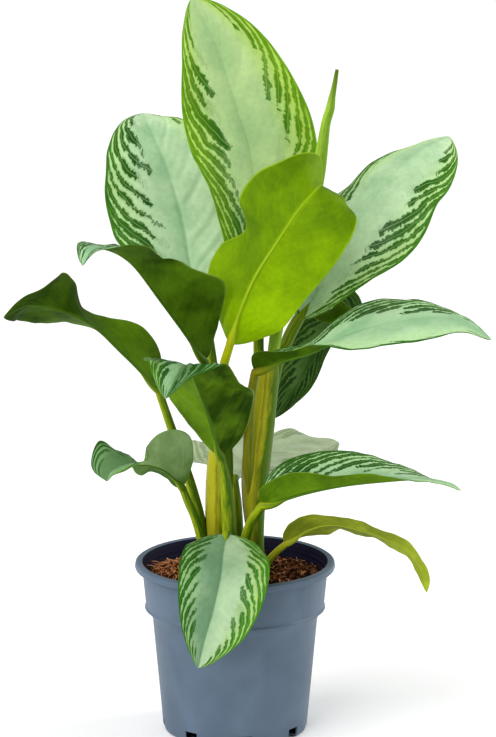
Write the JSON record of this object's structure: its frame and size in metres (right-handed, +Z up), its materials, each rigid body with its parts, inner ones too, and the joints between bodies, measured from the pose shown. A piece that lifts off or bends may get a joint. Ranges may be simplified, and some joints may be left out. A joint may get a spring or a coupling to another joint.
{
  "type": "potted chinese evergreen",
  "caption": "Broad-leaved Chinese evergreen house plant with silver and green patterned leaves on long petioles, growing from soil in a round tapered nursery pot.",
  "frame": {"origin": "centre of the pot's underside, on the surface that it stands on", "axes": "+Z up, -Y towards the plant's show side, +X to the right as seen from there"},
  "size_m": [0.3978, 0.2945, 0.6224],
  "materials": {
    "pot": "grey-blue moulded polypropylene",
    "soil": "loose red-brown coir and peat, dry",
    "stem": "smooth yellow-green leaf sheaths",
    "leaf_silver": "waxy leaf, silver-green centre with dark green streaked margins",
    "leaf_dark": "waxy leaf seen mainly from its plain green underside",
    "leaf_young": "soft yellow-green young leaf",
    "leaf_faded": "old leaf faded to pale grey-green"
  },
  "bodies": {
    "root": {"pot": "pot", "soil": "soil", "stem_left": "stem", "stem_right": "stem", "leaf_top": "leaf_silver", "leaf_left_back": "leaf_silver", "leaf_right_high": "leaf_silver", "leaf_young": "leaf_young", "leaf_left_upper": "leaf_dark", "leaf_left_low": "leaf_dark", "leaf_front_mid": "leaf_dark", "leaf_left_small": "leaf_dark", "leaf_right_mid": "leaf_silver", "leaf_right_back": "leaf_dark", "leaf_right_low": "leaf_silver", "leaf_right_yellow": "leaf_young", "leaf_front": "leaf_silver", "leaf_back": "leaf_faded", "leaf_rolled": "leaf_young"}
  },
  "joints": []
}
